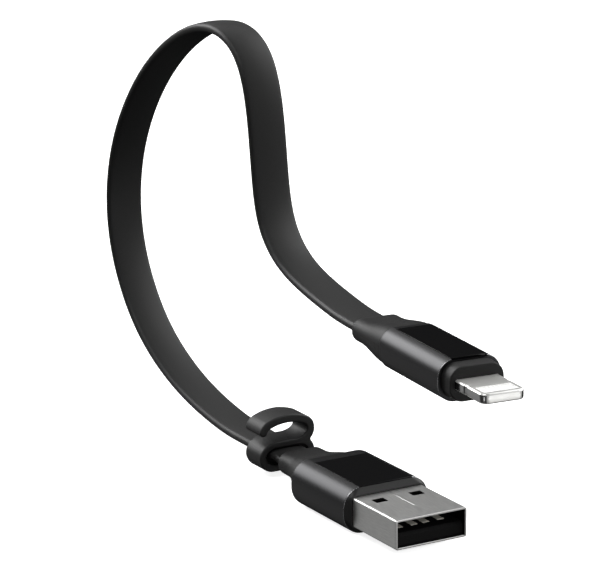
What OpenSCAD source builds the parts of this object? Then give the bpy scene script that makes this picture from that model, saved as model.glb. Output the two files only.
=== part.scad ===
// Short flat charging cable: a type A plug, a flat four-wire cable, a rubber keeper and an eight-pin
// phone plug. Millimetres. The origin is the middle of the type A sleeve's flat underside, +X is the
// way both plugs point, +Y is across the cable and +Z is up.

/* [Type A shell] */
// Width of the metal shell
shell_w = 12; // [11.5:0.1:12.5]
// Height of the metal shell
shell_h = 4.5; // [4.2:0.1:4.8]
// Wall of the metal shell
shell_wall = 0.3; // [0.2:0.05:0.4]
// Outer corner radius of the metal shell
shell_corner = 0.45; // [0.4:0.05:0.6]
// Length of shell that stands out of the end cap
shell_out = 11.9; // [10.5:0.1:12.5]
// Length of shell that is held inside the sleeve
shell_held = 7.1; // [6:0.1:8]
// Length of a latch window, along the plug
window_l = 1.3; // [1:0.1:2]
// Width of a latch window, across the plug
window_w = 2; // [1.5:0.1:2.5]
// Distance between the middles of a pair of windows
window_pitch = 6.3; // [5.5:0.1:7]
// Distance from the shell's mouth to a window's middle
window_back = 9.05; // [7.5:0.1:9.5]
// Width of the folded seam on the top of the shell
seam_w = 0.16; // [0.1:0.02:0.3]
// Distance from the mouth to where the seam starts
seam_back = 4.6; // [3:0.1:6]

/* [Type A contacts] */
// Width of a contact blade
blade_w = 1.1; // [0.8:0.1:1.3]
// Thickness of a contact blade
blade_t = 0.2; // [0.15:0.05:0.3]
// Distance from the mouth to the blades' noses
blade_back = 2.9; // [2:0.1:4]
// Length of the solder tails behind the insert
tail_l = 2.2; // [1.5:0.1:2.8]
// Distance from the mouth to the tongue's nose
tongue_back = 0.6; // [0.4:0.1:1.5]
// Distance from the mouth to the insert's full-height block
block_back = 11.2; // [9.8:0.1:12]

/* [Type A housing] */
// Plastic between the shell and the sleeve, at each side
grip_w = 0.55; // [0.3:0.05:1]
// Plastic between the shell and the sleeve, above and below
grip_h = 0.65; // [0.4:0.05:1]
// Length of the sleeve
sleeve_l = 15.6; // [14:0.1:17]
// Wall of the sleeve
sleeve_wall = 0.7; // [0.5:0.05:0.9]
// Edge radius of the sleeve's long sides
sleeve_edge = 3.2; // [2.6:0.1:3.3]
// Radius of the sleeve's back rim
sleeve_rim = 0.65; // [0.3:0.05:0.9]
// How far the end cap stands out of the sleeve
cap_out = 0.6; // [0.5:0.1:1.8]
// Width of the top plate
plate_w = 9; // [6:0.1:9.2]
// Distance from the top plate to the sleeve's back edge
plate_back = 2.6; // [1.2:0.1:6]

/* [Phone plug tab] */
// Width of the tab
tab_w = 6.7; // [6.5:0.05:6.9]
// Thickness of the tab
tab_t = 1.5; // [1.4:0.05:1.6]
// Length of tab that stands out of the end cap
tab_out = 7.7; // [6.8:0.1:8]
// Length of tab that is held inside the end cap
tab_held = 2.9; // [2.6:0.1:3.4]
// Corner radius of the tab's nose, seen from above
tab_nose = 1.15; // [0.8:0.05:1.4]
// Edge radius of the tab's long sides
tab_edge = 0.35; // [0.2:0.05:0.6]
// Number of contact pads on each face
pad_count = 8; // [6:1:9]
// Distance from one pad to the next
pad_pitch = 0.66; // [0.6:0.01:0.7]
// Width of a pad
pad_w = 0.44; // [0.3:0.02:0.5]
// Length of a pad
pad_l = 2.3; // [1.8:0.1:2.6]
// Distance from the tab's nose to the contact window
pad_back = 0.75; // [0.6:0.05:1]
// Distance from the tab's nose to the latch notches
notch_back = 4.9; // [4.4:0.1:5.4]
// Radius of the latch notches
notch_r = 0.7; // [0.5:0.05:0.9]

/* [Phone plug housing] */
// Width of the sleeve
phone_w = 9.8; // [9.4:0.1:10.6]
// Height of the sleeve
phone_h = 6.1; // [5.8:0.1:6.8]
// Length of the sleeve
phone_l = 17.8; // [16.5:0.1:20]
// Wall of the sleeve
phone_wall = 0.6; // [0.45:0.05:0.7]
// Edge radius of the sleeve's long sides
phone_edge = 2.65; // [2.2:0.05:2.85]
// How far the end cap stands out of the sleeve
phone_cap_out = 2.3; // [1.4:0.1:2.5]
// Width of the top plate
phone_plate_w = 5.4; // [4:0.1:5.8]
// Distance from the top plate to the sleeve's back edge
phone_plate_back = 1.2; // [0.6:0.1:4]
// Plastic round the tab at the end cap's nose
phone_nose = 0.35; // [0.2:0.05:0.8]

/* [Cable] */
// Width of the flat cable
cable_w = 6.3; // [5.8:0.1:6.6]
// Thickness of the flat cable
cable_t = 1.8; // [1.6:0.05:2]
// Wall of the cable's jacket
jacket_wall = 0.4; // [0.3:0.05:0.45]
// Diameter of an insulated wire
wire_d = 0.8; // [0.6:0.05:0.85]
// Distance from one wire to the next in the jacket
wire_pitch = 1.2; // [1.1:0.02:1.3]
// Length of the type A plug's strain relief
relief_l = 9.4; // [7:0.1:11]
// Length of the phone plug's strain relief
phone_relief_l = 10.5; // [8:0.1:11.5]
// Rubber round the cable at a strain relief's thin end
relief_wall = 0.85; // [0.6:0.05:1.1]

/* [Pose] */
// How far ahead of the type A sleeve's middle the phone plug's nose is held
phone_ahead = 48.5; // [44:0.5:52]
// How far to the side of the type A plug the phone plug's nose is held
phone_aside = 6.5; // [4:0.5:9]
// How high above the surface the phone plug's middle is held
phone_above = 31.7; // [28:0.1:35]
// How far the phone plug is turned to the side, in degrees
phone_turned = 5; // [0:1:8]

/* [Keeper] */
// Length of the keeper along the cable
keeper_l = 4.8; // [3.5:0.1:6]
// Thickness of the keeper's strap
keeper_wall = 1.1; // [0.8:0.05:1.3]
// Room round the cable inside the keeper, at each side
keeper_room_w = 0.6; // [0.4:0.05:0.9]
// Room above and below the cable inside the keeper, in all
keeper_room_h = 0.8; // [0.5:0.05:0.9]
// Height inside the keeper's open hook
hook_h = 2.95; // [2.4:0.05:3.4]
// Width of the gap that lets a strand into the hook
hook_gap = 1.2; // [0.8:0.1:1.6]
// Distance from the strain relief to the keeper
keeper_back = 3.7; // [1:0.1:5]

/* [Hidden] */

$fn = 48;
// Sides of a rubber relief's outline
relief_sides = 28;
// Room between pieces that slip into each other
fit = 0.05;
// Overrun of a cutting tool past a face
eps = 0.2;

// Type A plug, along X
sleeve_w = shell_w + 2 * (grip_w + sleeve_wall);
sleeve_h = shell_h + 2 * (grip_h + sleeve_wall);
plate_l = sleeve_l - plate_back;
axis_z = sleeve_h / 2;
sleeve_x1 = sleeve_l / 2;
sleeve_x0 = -sleeve_l / 2;
cap_x1 = sleeve_x1 + cap_out;
mouth_x = cap_x1 + shell_out;
shell_x0 = cap_x1 - shell_held;
cap_spigot = 2;
relief_spigot = 1.2;
mould_x0 = sleeve_x0 + relief_spigot + fit;
mould_x1 = sleeve_x1 - cap_spigot - fit;
relief_x0 = sleeve_x0 - relief_l;
hollow_w = sleeve_w - 2 * sleeve_wall;
hollow_h = sleeve_h - 2 * sleeve_wall;
hollow_edge = sleeve_edge - sleeve_wall;
shell_in_w = shell_w - 2 * shell_wall;
shell_in_h = shell_h - 2 * shell_wall;
shell_in_corner = max(shell_corner - shell_wall, 0.1);
// The contacts' top face lies in the middle of the shell
tongue_rise = 0.05;
tongue_floor = -shell_in_h / 2 + fit;
block_x0 = shell_x0 + fit;
tail_x0 = block_x0 - tail_l;
contact_y = [3.5, 1, -1, -3.5];
plate_t = 0.3;
plate_rise = 0.05;

// Phone plug, along its own X with the tab's nose at 0
phone_tip = [phone_ahead, -phone_aside, phone_above];
phone_turn = -phone_turned;
phone_cap_x1 = -tab_out;
phone_x1 = phone_cap_x1 - phone_cap_out;
phone_x0 = phone_x1 - phone_l;
tab_x0 = phone_cap_x1 - tab_held;
phone_spigot = 1.2;
phone_relief_x0 = phone_x0 - phone_relief_l;
phone_hollow_w = phone_w - 2 * phone_wall;
phone_hollow_h = phone_h - 2 * phone_wall;
phone_hollow_edge = phone_edge - phone_wall;
phone_plate_l = phone_l - phone_plate_back;
window_margin = 0.2;
pad_window_l = pad_l + 2 * window_margin;
pad_window_w = (pad_count - 1) * pad_pitch + pad_w + 2 * window_margin;
pad_mid_x = -pad_back - pad_window_l / 2;
pad_depth = 0.15;
board_t = 0.6;
board_l = 11;
board_x1 = tab_x0 - fit;
board_x0 = board_x1 - board_l;
board_w = phone_hollow_w - 1.2;
can_t = 0.2;
can_x1 = phone_x1 - phone_spigot - fit;
can_x0 = board_x0 + 1.6;
can_w = phone_hollow_w - 2 * fit;
can_h = phone_hollow_h - 2 * fit;
phone_mould_x1 = can_x0 - fit;
phone_mould_x0 = phone_x0 + phone_spigot + fit;

// Cable
cable_in_w = cable_w - 2 * jacket_wall;
cable_in_t = cable_t - 2 * jacket_wall;
relief_end_w = cable_w + 2 * relief_wall;
relief_end_h = cable_t + 2 * relief_wall;
relief_big_w = sleeve_w - 2 * sleeve_rim - 1;
relief_big_h = sleeve_h - 2 * sleeve_rim - 0.1;
jacket_in = 0.8;
wire_slots = [for (k = [1.5, 0.5, -0.5, -1.5]) k * wire_pitch];
board_pad_y = [2.4, 0.8, -0.8, -2.4];

// Control points of the cable's middle line, a uniform cubic B-spline
route_start = [for (x = [-15, -22, -29]) [x, 0, axis_z]];
route_middle = [
  [-35.5, 0, 3.6], [-42, 0, 4.4], [-49.5, 0, 5.8], [-57.5, 0, 8.5], [-65, 0, 12.7],
  [-70.5, 0, 18.5], [-74.2, 0, 25.4], [-75.3, 0, 33.2], [-73.6, 0, 41], [-69.9, 0, 48],
  [-64.8, 0, 54.2], [-58.8, 0, 59.5], [-51.4, 0, 64.1], [-43.1, 0, 67.4], [-34.9, -0.1, 67.6],
  [-28.9, -0.2, 64.2], [-26, -0.4, 56.8], [-24.9, -0.5, 47.8], [-23, -0.8, 39.7], [-17, -1.1, 35],
  [-9, -1.5, 33.1], [-2.6, -2, 32.3]
];
route_end = [for (x = [-45.5, -38.5, -31.5, -24.5]) phone_point(x)];
route = concat([[-8, 0, axis_z]], route_start, route_middle, route_end);
route_steps = 2;

// Keeper
keeper_x1 = relief_x0 - keeper_back;
keeper_in_w = cable_w + 2 * keeper_room_w;
keeper_in_h = cable_t + keeper_room_h;
keeper_w = keeper_in_w + 2 * keeper_wall;
keeper_h = keeper_in_h + 2 * keeper_wall;
// The loop hangs on the cable's top face
keeper_mid_z = axis_z + cable_t / 2 + 0.15 - keeper_in_h / 2;
keeper_top_z = keeper_mid_z + keeper_in_h / 2;
// The hook's cavity: shoulders and a crowned top, whose arcs meet tangent
shoulder_r = 1.1;
crown_r = 7.9;
crown_reach = 1.8;
shoulder_y = keeper_in_w / 2 - shoulder_r;
crown_z = keeper_top_z + keeper_wall + hook_h - crown_r;
shoulder_z = crown_z + sqrt(pow(crown_r - shoulder_r, 2) - pow(shoulder_y, 2));
hook_foot = shoulder_z - keeper_top_z - keeper_wall - 0.05;

// ---- shapes ----

// Rounded rectangle, made of exact arcs
module rounded(w, h, r) {
  square([w - 2 * r, h], center = true);
  square([w, h - 2 * r], center = true);
  for (y = [-1, 1], z = [-1, 1])
    translate([y * (w / 2 - r), z * (h / 2 - r)]) circle(r);
}

// Extrusion along X, with the outline's x across and its y up
module along_x(x0, x1) {
  translate([x0, 0, 0]) rotate([90, 0, 90]) linear_extrude(x1 - x0) children();
}

// Rounded bar along X
module bar(x0, x1, w, h, r) {
  along_x(x0, x1) rounded(w, h, r);
}

// Sleeve's outside, with a rounded rim at each end; rim is [front, back]
module sleeve_outside(x0, x1, w, h, r, rim) {
  slice = 0.02;
  step = 0.3;
  hull() {
    bar(x0, x0 + slice, w - 2 * rim[1], h - 2 * rim[1], r - rim[1]);
    bar(x0 + step * rim[1], x0 + step * rim[1] + slice, w - step * 2 * rim[1],
        h - step * 2 * rim[1], r - step * rim[1]);
    bar(x0 + rim[1], x1 - rim[0], w, h, r);
    bar(x1 - step * rim[0] - slice, x1 - step * rim[0], w - step * 2 * rim[0],
        h - step * 2 * rim[0], r - step * rim[0]);
    bar(x1 - slice, x1, w - 2 * rim[0], h - 2 * rim[0], r - rim[0]);
  }
}

// Points of a rounded outline at x; n is a multiple of four
function outline(x, w, h, r, n) = [
  for (k = [0 : n - 1])
    let (q = floor(k / (n / 4)))
    let (a = 90 * q + 90 * (k - q * n / 4) / (n / 4 - 1))
    let (sy = (q == 0 || q == 3) ? 1 : -1)
    let (sz = (q < 2) ? 1 : -1)
    [x, sy * (w / 2 - r) + r * cos(a), sz * (h / 2 - r) + r * sin(a)]
];

// Closed solid through a list of outlines that have n points each
module loft(rings, n) {
  count = len(rings);
  sides = [
    for (i = [0 : count - 2], k = [0 : n - 1])
      [i * n + k, (i + 1) * n + k, (i + 1) * n + (k + 1) % n, i * n + (k + 1) % n]
  ];
  first = [for (k = [0 : n - 1]) k];
  last = [for (k = [n - 1 : -1 : 0]) (count - 1) * n + k];
  polyhedron([for (ring = rings) each ring], concat(sides, [first, last]), convexity = 6);
}

function smooth(t) = t * t * (3 - 2 * t);
function mix(a, b, t) = a + (b - a) * t;

// Rubber strain relief: a lip at x0, a thin neck, and a flare that ends at x1
module relief(x0, x1, end_w, end_h, big_w, big_h, big_r, neck) {
  lip = 0.4;
  steps = 8;
  end_r = end_h / 2 - 0.1;
  flare = [
    for (i = [0 : steps])
      let (t = i / steps)
      let (s = smooth(t))
      outline(mix(x0 + neck, x1, t), mix(end_w, big_w, s), mix(end_h, big_h, s),
              mix(end_r, big_r, s), relief_sides)
  ];
  ends = [
    outline(x0, end_w - 2 * lip, end_h - 2 * lip, end_r - lip, relief_sides),
    outline(x0 + 0.12, end_w - 0.6 * lip, end_h - 0.6 * lip, end_r - 0.3 * lip, relief_sides),
    outline(x0 + lip, end_w, end_h, end_r, relief_sides)
  ];
  loft(concat(ends, flare), relief_sides);
}

module cable_bore(x0, x1) {
  bar(x0, x1, cable_w + 2 * fit, cable_t + 2 * fit, cable_t / 2 + fit - 0.01);
}

module at_type_a() {
  translate([0, 0, axis_z]) children();
}

module at_phone() {
  translate(phone_tip) rotate([0, 0, phone_turn]) children();
}

// A place on the phone plug's axis, with a step to the side and a step up
function phone_point(x, side = 0, up = 0) =
  phone_tip + [x * cos(phone_turn) - side * sin(phone_turn),
               x * sin(phone_turn) + side * cos(phone_turn), up];

// ---- cable ----

function spline_at(a, b, c, d, t) =
  ((1 - t) ^ 3 * a + (3 * t ^ 3 - 6 * t ^ 2 + 4) * b + (-3 * t ^ 3 + 3 * t ^ 2 + 3 * t + 1) * c
   + t ^ 3 * d) / 6;

function route_points() = concat(
  [for (i = [0 : len(route) - 4], k = [0 : route_steps - 1])
    spline_at(route[i], route[i + 1], route[i + 2], route[i + 3], k / route_steps)],
  [spline_at(route[len(route) - 4], route[len(route) - 3], route[len(route) - 2],
             route[len(route) - 1], 1)]
);

// The jacket starts and ends inside the two strain reliefs
jacket_points = concat([[sleeve_x0 - jacket_in, 0, axis_z]], route_points(),
                       [phone_point(phone_x0 - jacket_in)]);

function unit(v) = v / norm(v);
function way(points, i) =
  unit(points[min(i + 1, len(points) - 1)] - points[max(i - 1, 0)]);
function side_way(t) = unit([0, 1, 0] - t[1] * t);

// Ring of outline points round place i; shape holds [side, up] pairs
function ring_at(points, i, shape, side, up) =
  let (t = way(points, i))
  let (s = side_way(t))
  let (u = cross(t, s))
  [for (p = shape) points[i] + (p[0] + side) * s + (p[1] + up) * u];

// Flat outline with round ends, six points to each end
function flat_outline(w, h) = [
  for (end = [1, -1], a = [-90 : 36 : 90])
    [end * ((w - h) / 2 + h / 2 * cos(a)), end * h / 2 * sin(a)]
];

function round_outline(d, n) = [for (k = [0 : n - 1]) d / 2 * [cos(360 * k / n), sin(360 * k / n)]];

// Tube with an outer and an inner outline of n points each, open at both ends
module tube(outer, inner, n) {
  count = len(outer);
  base = count * n;
  outside = [
    for (i = [0 : count - 2], k = [0 : n - 1])
      [i * n + k, (i + 1) * n + k, (i + 1) * n + (k + 1) % n, i * n + (k + 1) % n]
  ];
  inside = [for (f = outside) [base + f[3], base + f[2], base + f[1], base + f[0]]];
  start = [for (k = [0 : n - 1]) [k, (k + 1) % n, base + (k + 1) % n, base + k]];
  e = (count - 1) * n;
  end = [for (k = [0 : n - 1]) [base + e + k, base + e + (k + 1) % n, e + (k + 1) % n, e + k]];
  points = concat([for (ring = outer) each ring], [for (ring = inner) each ring]);
  polyhedron(points, concat(outside, inside, start, end), convexity = 10);
}

module cable_jacket() {
  color("#262626") {
    outer = flat_outline(cable_w, cable_t);
    inner = flat_outline(cable_in_w, cable_in_t);
    last = len(jacket_points) - 1;
    tube([for (i = [0 : last]) ring_at(jacket_points, i, outer, 0, 0)],
         [for (i = [0 : last]) ring_at(jacket_points, i, inner, 0, 0)], len(outer));
  }
}

// One insulated wire: soldered tail, fan to its slot, the whole cable, and fan to the board.
// A ring's up turns over with the loop: it points down at the type A end and up at the phone end.
module wire(k) {
  lift_a = wire_d / 2 + fit;
  lift_b = board_t / 2 + wire_d / 2 + fit;
  solder_a = min(1, tail_l - 0.6);
  head = [
    [[tail_x0 + solder_a, 0, axis_z], contact_y[k], -lift_a],
    [[tail_x0 - 0.4, 0, axis_z], contact_y[k], -lift_a],
    [[sleeve_x0 + 2, 0, axis_z], wire_slots[k], 0]
  ];
  body = [for (p = jacket_points) [p, wire_slots[k], 0]];
  foot = [
    [phone_point(phone_x0 + 2.6), wire_slots[k], 0],
    [phone_point(board_x0 - 0.6), board_pad_y[k], lift_b],
    [phone_point(board_x0 + 0.9), board_pad_y[k], lift_b]
  ];
  stations = concat(head, body, foot);
  points = [for (s = stations) s[0]];
  shape = round_outline(wire_d, 8);
  loft([for (i = [0 : len(stations) - 1])
          ring_at(points, i, shape, stations[i][1], stations[i][2])], 8);
}

module wire_power() { color("#a33a32") wire(0); }
module wire_data_minus() { color("#d9d9d4") wire(1); }
module wire_data_plus() { color("#3f7a4c") wire(2); }
module wire_ground() { color("#1c1c1c") wire(3); }

// ---- type A plug ----

module type_a_shell() {
  color("#9a9a9a") at_type_a() difference() {
    bar(shell_x0, mouth_x, shell_w, shell_h, shell_corner);
    bar(shell_x0 - eps, mouth_x + eps, shell_in_w, shell_in_h, shell_in_corner);
    for (side = [-1, 1])
      translate([mouth_x - window_back, side * window_pitch / 2, 0])
        cube([window_l, window_w, shell_h + 2 * eps], center = true);
    translate([shell_x0 - eps, -seam_w / 2, shell_h / 2 - shell_wall / 2])
      cube([mouth_x - seam_back - shell_x0 + eps, seam_w, shell_wall]);
  }
}

// Insulating insert: a thin tongue in the mouth and a full-height block behind it
module type_a_tongue() {
  nose = 0.4;
  nose_x = mouth_x - tongue_back;
  block_x1 = mouth_x - block_back;
  top = -tongue_rise;
  half_w = shell_in_w / 2 - fit;
  color("#151515") at_type_a() difference() {
    union() {
      translate([0, half_w, 0]) rotate([90, 0, 0]) linear_extrude(2 * half_w)
        polygon([[block_x0, tongue_floor], [nose_x, tongue_floor], [nose_x, top - nose],
                 [nose_x - nose, top], [block_x0, top]]);
      bar(block_x0, block_x1, 2 * half_w, shell_in_h - 2 * fit, shell_in_corner);
    }
    for (y = contact_y)
      translate([block_x0 - eps, y - blade_w / 2 - fit, -blade_t])
        cube([mouth_x - blade_back + fit - block_x0 + eps, blade_w + 2 * fit, blade_t + fit]);
  }
}

// Contact blade with a nose that dips into the tongue and a solder tail behind
module contact(k) {
  nose = 0.3;
  x1 = mouth_x - blade_back;
  color("#c9b47c") at_type_a()
    translate([0, contact_y[k] + blade_w / 2, 0]) rotate([90, 0, 0]) linear_extrude(blade_w)
      polygon([[tail_x0, -blade_t], [x1, -blade_t], [x1 - nose, 0], [tail_x0, 0]]);
}

module type_a_contact_power() { contact(0); }
module type_a_contact_data_minus() { contact(1); }
module type_a_contact_data_plus() { contact(2); }
module type_a_contact_ground() { contact(3); }

// Inner mould: holds the shell's rear end, with a tunnel for the wires behind it
module type_a_inner_mould() {
  tunnel_w = 2 * contact_y[0] + wire_d + 0.8;
  tunnel_h = 2 * wire_d + 0.9;
  color("#e4e2da") at_type_a() difference() {
    bar(mould_x0, mould_x1, hollow_w - 2 * fit, hollow_h - 2 * fit, hollow_edge - fit);
    bar(shell_x0 - fit, mould_x1 + eps, shell_w + 2 * fit, shell_h + 2 * fit, shell_corner + fit);
    bar(mould_x0 - eps, shell_x0 + eps, tunnel_w, tunnel_h, wire_d / 2);
  }
}

// End cap: a rounded collar round the shell, with a spigot inside the sleeve
module type_a_end_cap() {
  slice = 0.02;
  color("#2c2c2c") at_type_a() difference() {
    union() {
      hull() {
        bar(sleeve_x1, sleeve_x1 + slice, sleeve_w - 0.3, sleeve_h - 0.3, sleeve_edge - 0.15);
        bar(cap_x1 - 0.12, cap_x1 - 0.12 + slice, shell_w + 0.8, shell_h + 0.9, 1.1);
        bar(cap_x1 - slice, cap_x1, shell_w + 0.6, shell_h + 0.7, 1);
      }
      bar(sleeve_x1 - cap_spigot, sleeve_x1 + slice, hollow_w - 2 * fit, hollow_h - 2 * fit,
          hollow_edge - fit);
    }
    bar(sleeve_x1 - cap_spigot - eps, cap_x1 + eps, shell_w + 2 * fit, shell_h + 2 * fit,
        shell_corner + fit);
  }
}

module type_a_sleeve() {
  color("#3a3a3a") at_type_a() difference() {
    sleeve_outside(sleeve_x0, sleeve_x1, sleeve_w, sleeve_h, sleeve_edge, [0.2, sleeve_rim]);
    bar(sleeve_x0 - eps, sleeve_x1 + eps, hollow_w, hollow_h, hollow_edge);
    translate([sleeve_x1 - plate_l - fit, -plate_w / 2 - fit, sleeve_h / 2 - plate_t])
      cube([plate_l + fit + eps, plate_w + 2 * fit, plate_t + eps]);
  }
}

module type_a_top_plate() {
  color("#101010") at_type_a()
    translate([sleeve_x1 - plate_l, -plate_w / 2, sleeve_h / 2 - plate_t])
      cube([plate_l - 0.05, plate_w, plate_t + plate_rise]);
}

module type_a_strain_relief() {
  color("#333333") at_type_a() difference() {
    union() {
      relief(relief_x0, sleeve_x0, relief_end_w, relief_end_h, relief_big_w, relief_big_h,
             relief_big_h / 2 - 0.15, 2.4);
      bar(sleeve_x0 - 0.02, sleeve_x0 + relief_spigot, hollow_w - 2 * fit, hollow_h - 2 * fit,
          hollow_edge - fit);
    }
    cable_bore(relief_x0 - eps, sleeve_x0 + relief_spigot + eps);
  }
}

// ---- keeper ----

// Figure of eight: a closed loop round the cable and an open hook above it
module keeper() {
  color("#2f2f2f") along_x(keeper_x1 - keeper_l, keeper_x1) keeper_outline();
}

module keeper_outline() {
  saddle_z = keeper_top_z + keeper_wall;
  free_z = saddle_z + hook_gap + keeper_wall / 2;
  strap_r = shoulder_r + keeper_wall / 2;
  lean = asin((free_z - shoulder_z) / strap_r);
  difference() {
    union() {
      translate([0, keeper_mid_z]) rounded(keeper_w, keeper_h, keeper_h / 2 - 0.05);
      // The hook stops short of the loop, which leaves the gap
      difference() {
        hook_form(keeper_wall, hook_foot + keeper_wall);
        translate([-keeper_w / 2 - eps, keeper_top_z - eps])
          square([keeper_w / 2 - hook_foot + eps, free_z - keeper_top_z + eps]);
      }
      // Web that joins the two loops at the hook's closed side
      translate([keeper_in_w / 2 - 1.6, keeper_top_z]) square([1.7, 2 * keeper_wall]);
    }
    translate([0, keeper_mid_z]) rounded(keeper_in_w, keeper_in_h, keeper_in_h / 2 - 0.05);
    hook_form(0, hook_foot);
  }
  // Round free end of the hook's strap
  translate([-shoulder_y - strap_r * cos(lean), free_z]) circle(keeper_wall / 2 + 0.02);
}

// The hook's cavity, or its outside when it is grown by the strap's wall: a crowned top that runs
// into two shoulders, and a foot with round corners
module hook_form(grow, foot) {
  w = keeper_in_w + 2 * grow;
  floor_z = keeper_top_z + keeper_wall - grow;
  for (y = [-1, 1]) {
    translate([y * shoulder_y, shoulder_z]) circle(shoulder_r + grow);
    translate([y * (w / 2 - foot), floor_z + foot]) intersection() {
      circle(foot);
      translate([-foot, -foot]) square([2 * foot, foot]);
    }
  }
  translate([-w / 2, floor_z + foot]) square([w, shoulder_z - floor_z - foot]);
  translate([-w / 2 + foot, floor_z]) square([w - 2 * foot, foot + eps]);
  intersection() {
    translate([0, crown_z]) circle(crown_r + grow);
    polygon([for (p = [[-1, 1], [1, 1], [1, crown_reach], [-1, crown_reach]])
      [p[0] * p[1] * shoulder_y, crown_z + p[1] * (shoulder_z - crown_z)]]);
  }
}

// ---- phone plug ----

module pad_places(face) {
  for (k = [0 : pad_count - 1])
    translate([pad_mid_x, (k - (pad_count - 1) / 2) * pad_pitch, face * (tab_t - pad_depth) / 2])
      cube([pad_l, pad_w, pad_depth], center = true);
}

// Metal tab: rounded nose, rounded sides, two latch notches and a contact window through it
module phone_tab_frame() {
  bite = 0.3;
  color("#d8d8d8") at_phone() difference() {
    intersection() {
      bar(tab_x0, 0, tab_w, tab_t, tab_edge);
      translate([tab_x0, -tab_w / 2, -tab_t]) linear_extrude(2 * tab_t) tab_plan();
    }
    for (side = [-1, 1])
      translate([-notch_back, side * (tab_w / 2 + notch_r - bite), -tab_t])
        cylinder(r = notch_r, h = 2 * tab_t);
    translate([pad_mid_x, 0, 0])
      cube([pad_window_l, pad_window_w, 2 * tab_t], center = true);
  }
}

module tab_plan() {
  length = -tab_x0;
  square([length - tab_nose, tab_w]);
  translate([length - tab_nose, tab_nose]) square([tab_nose, tab_w - 2 * tab_nose]);
  for (y = [tab_nose, tab_w - tab_nose]) translate([length - tab_nose, y]) circle(tab_nose);
}

module phone_tab_insulator() {
  color("#efefec") at_phone() difference() {
    translate([pad_mid_x, 0, 0])
      cube([pad_window_l - fit, pad_window_w - fit, tab_t - 0.04], center = true);
    for (face = [-1, 1], k = [0 : pad_count - 1])
      translate([pad_mid_x, (k - (pad_count - 1) / 2) * pad_pitch,
                 face * (tab_t - pad_depth + eps) / 2])
        cube([pad_l, pad_w, pad_depth + eps], center = true);
  }
}

module phone_contacts_top() { color("#dcdcd6") at_phone() pad_places(1); }
module phone_contacts_bottom() { color("#dcdcd6") at_phone() pad_places(-1); }

module phone_board() {
  color("#1f5a3c") at_phone()
    translate([board_x0, -board_w / 2, -board_t / 2]) cube([board_l, board_w, board_t]);
}

module phone_control_chip() {
  color("#191919") at_phone()
    translate([(can_x0 + can_x1) / 2 - 1.6, -1.4, board_t / 2]) cube([3.2, 2.8, 0.8]);
}

// Capacitors and resistors beside the chip
module phone_board_parts() {
  mid = (can_x0 + can_x1) / 2;
  color("#b79a6a") at_phone()
    for (side = [-1, 1], k = [0 : 2])
      translate([mid - 1.5 + k * 1.2, side * 2.3 - 0.25, board_t / 2]) cube([0.9, 0.5, 0.4]);
}

module phone_shield_can() {
  edge = phone_hollow_edge - fit;
  color("#b9b9b9") at_phone() difference() {
    bar(can_x0, can_x1, can_w, can_h, edge);
    bar(can_x0 - eps, can_x1 + eps, can_w - 2 * can_t, can_h - 2 * can_t, edge - can_t);
  }
}

module phone_inner_mould() {
  tunnel_w = max(board_w, 2 * board_pad_y[0] + wire_d) + 0.3;
  tunnel_h = board_t + 2 * wire_d + 0.6;
  color("#e4e2da") at_phone() difference() {
    bar(phone_mould_x0, phone_mould_x1, phone_hollow_w - 2 * fit, phone_hollow_h - 2 * fit,
        phone_hollow_edge - fit);
    bar(phone_mould_x0 - eps, phone_mould_x1 + eps, tunnel_w, tunnel_h, 0.4);
  }
}

module phone_end_cap() {
  slice = 0.02;
  color("#2a2a2a") at_phone() difference() {
    union() {
      hull() {
        bar(phone_x1, phone_x1 + slice, phone_w - 1.3, phone_h - 1.0, phone_edge - 0.55);
        bar(phone_cap_x1 - 0.7, phone_cap_x1 - 0.7 + slice, phone_w - 1.4, phone_h - 1.1,
            phone_edge - 0.6);
        bar(phone_cap_x1 - 0.22, phone_cap_x1 - 0.22 + slice, tab_w + 2 * phone_nose + 0.6,
            phone_h - 1.5, phone_edge - 0.8);
        bar(phone_cap_x1 - slice, phone_cap_x1, tab_w + 2 * phone_nose, phone_h - 2.1,
            phone_edge - 1.1);
      }
      bar(phone_x1 - phone_spigot, phone_x1 + slice, phone_hollow_w - 2 * fit,
          phone_hollow_h - 2 * fit, phone_hollow_edge - fit);
    }
    bar(tab_x0 - eps, phone_cap_x1 + eps, tab_w + 2 * fit, tab_t + 2 * fit, tab_edge + fit);
    translate([phone_x1 - phone_spigot - eps, -board_w / 2 - fit, -board_t / 2 - fit])
      cube([tab_x0 - phone_x1 + phone_spigot + 2 * eps, board_w + 2 * fit, board_t + 2 * fit]);
  }
}

module phone_sleeve() {
  color("#3a3a3a") at_phone() difference() {
    sleeve_outside(phone_x0, phone_x1, phone_w, phone_h, phone_edge, [0.5, 0.3]);
    bar(phone_x0 - eps, phone_x1 + eps, phone_hollow_w, phone_hollow_h, phone_hollow_edge);
    translate([phone_x1 - phone_plate_l - fit, -phone_plate_w / 2 - fit, phone_h / 2 - plate_t])
      cube([phone_plate_l + fit + eps, phone_plate_w + 2 * fit, plate_t + eps]);
  }
}

module phone_top_plate() {
  color("#101010") at_phone()
    translate([phone_x1 - phone_plate_l, -phone_plate_w / 2, phone_h / 2 - plate_t])
      cube([phone_plate_l - 0.3, phone_plate_w, plate_t + plate_rise]);
}

module phone_strain_relief() {
  color("#333333") at_phone() difference() {
    union() {
      relief(phone_relief_x0, phone_x0, relief_end_w, relief_end_h, phone_w - 0.3, phone_h - 0.3,
             phone_edge - 0.15, 1.6);
      bar(phone_x0 - 0.02, phone_x0 + phone_spigot, phone_hollow_w - 2 * fit,
          phone_hollow_h - 2 * fit, phone_hollow_edge - fit);
    }
    cable_bore(phone_relief_x0 - eps, phone_x0 + phone_spigot + eps);
  }
}

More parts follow.
